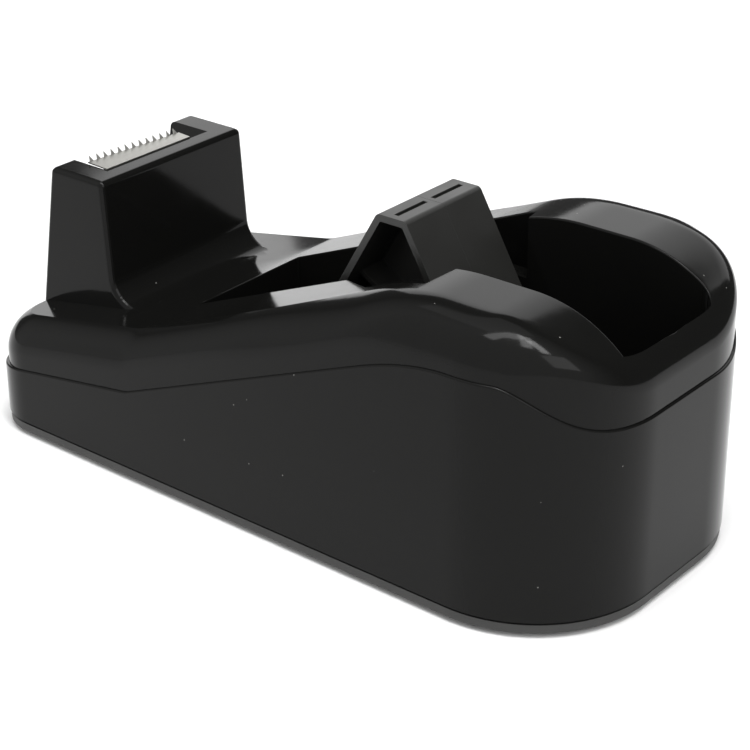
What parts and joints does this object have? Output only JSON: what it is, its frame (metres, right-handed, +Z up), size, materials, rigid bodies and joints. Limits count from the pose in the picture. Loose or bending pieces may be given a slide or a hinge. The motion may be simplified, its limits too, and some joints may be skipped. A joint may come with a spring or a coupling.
{
  "type": "desktop tape dispenser",
  "caption": "Weighted desktop dispenser for wide packing tape: sloped moulded housing with a tape well, lift-out three-lobed core hub and a toothed cutting blade on a front tower.",
  "frame": {"origin": "centre of the footprint on the table, at the underside of the non-slip pad", "axes": "+X to the rear (tape well end), the blade tower is at -X, +Y to the far side, +Z up"},
  "size_m": [0.2652, 0.1262, 0.1106],
  "materials": {
    "housing_plastic": "glossy black moulded plastic",
    "base_plastic": "matte black moulded plastic",
    "pad_rubber": "dark foam rubber",
    "hub_plastic": "satin black moulded plastic",
    "blade_steel": "satin rolled steel",
    "axle_steel": "turned steel",
    "screw_steel": "zinc-plated steel",
    "weight_iron": "rough cast iron",
    "small_plastic": "matte dark plastic"
  },
  "bodies": {
    "base": {"housing": "housing_plastic", "bottom_plate": "base_plastic", "foot_pad": "pad_rubber", "base_screws": "screw_steel", "near_weight": "weight_iron", "far_weight": "weight_iron", "blade": "blade_steel", "blade_clamp": "small_plastic", "clamp_screws": "screw_steel"},
    "axle": {"hub_axle": "axle_steel", "near_collar": "small_plastic", "far_collar": "small_plastic"},
    "hub": {"hub_near": "hub_plastic", "hub_far": "hub_plastic"}
  },
  "joints": [
    {"name": "hub_lift", "type": "slide", "parent": "base", "child": "axle", "axis": [0, 0, 1], "range_m": [0, 0.07]},
    {"name": "hub_spin", "type": "hinge", "parent": "axle", "child": "hub", "pos_m": [0.0302, 0, 0.0734], "axis": [0, 1, 0], "continuous": true}
  ]
}
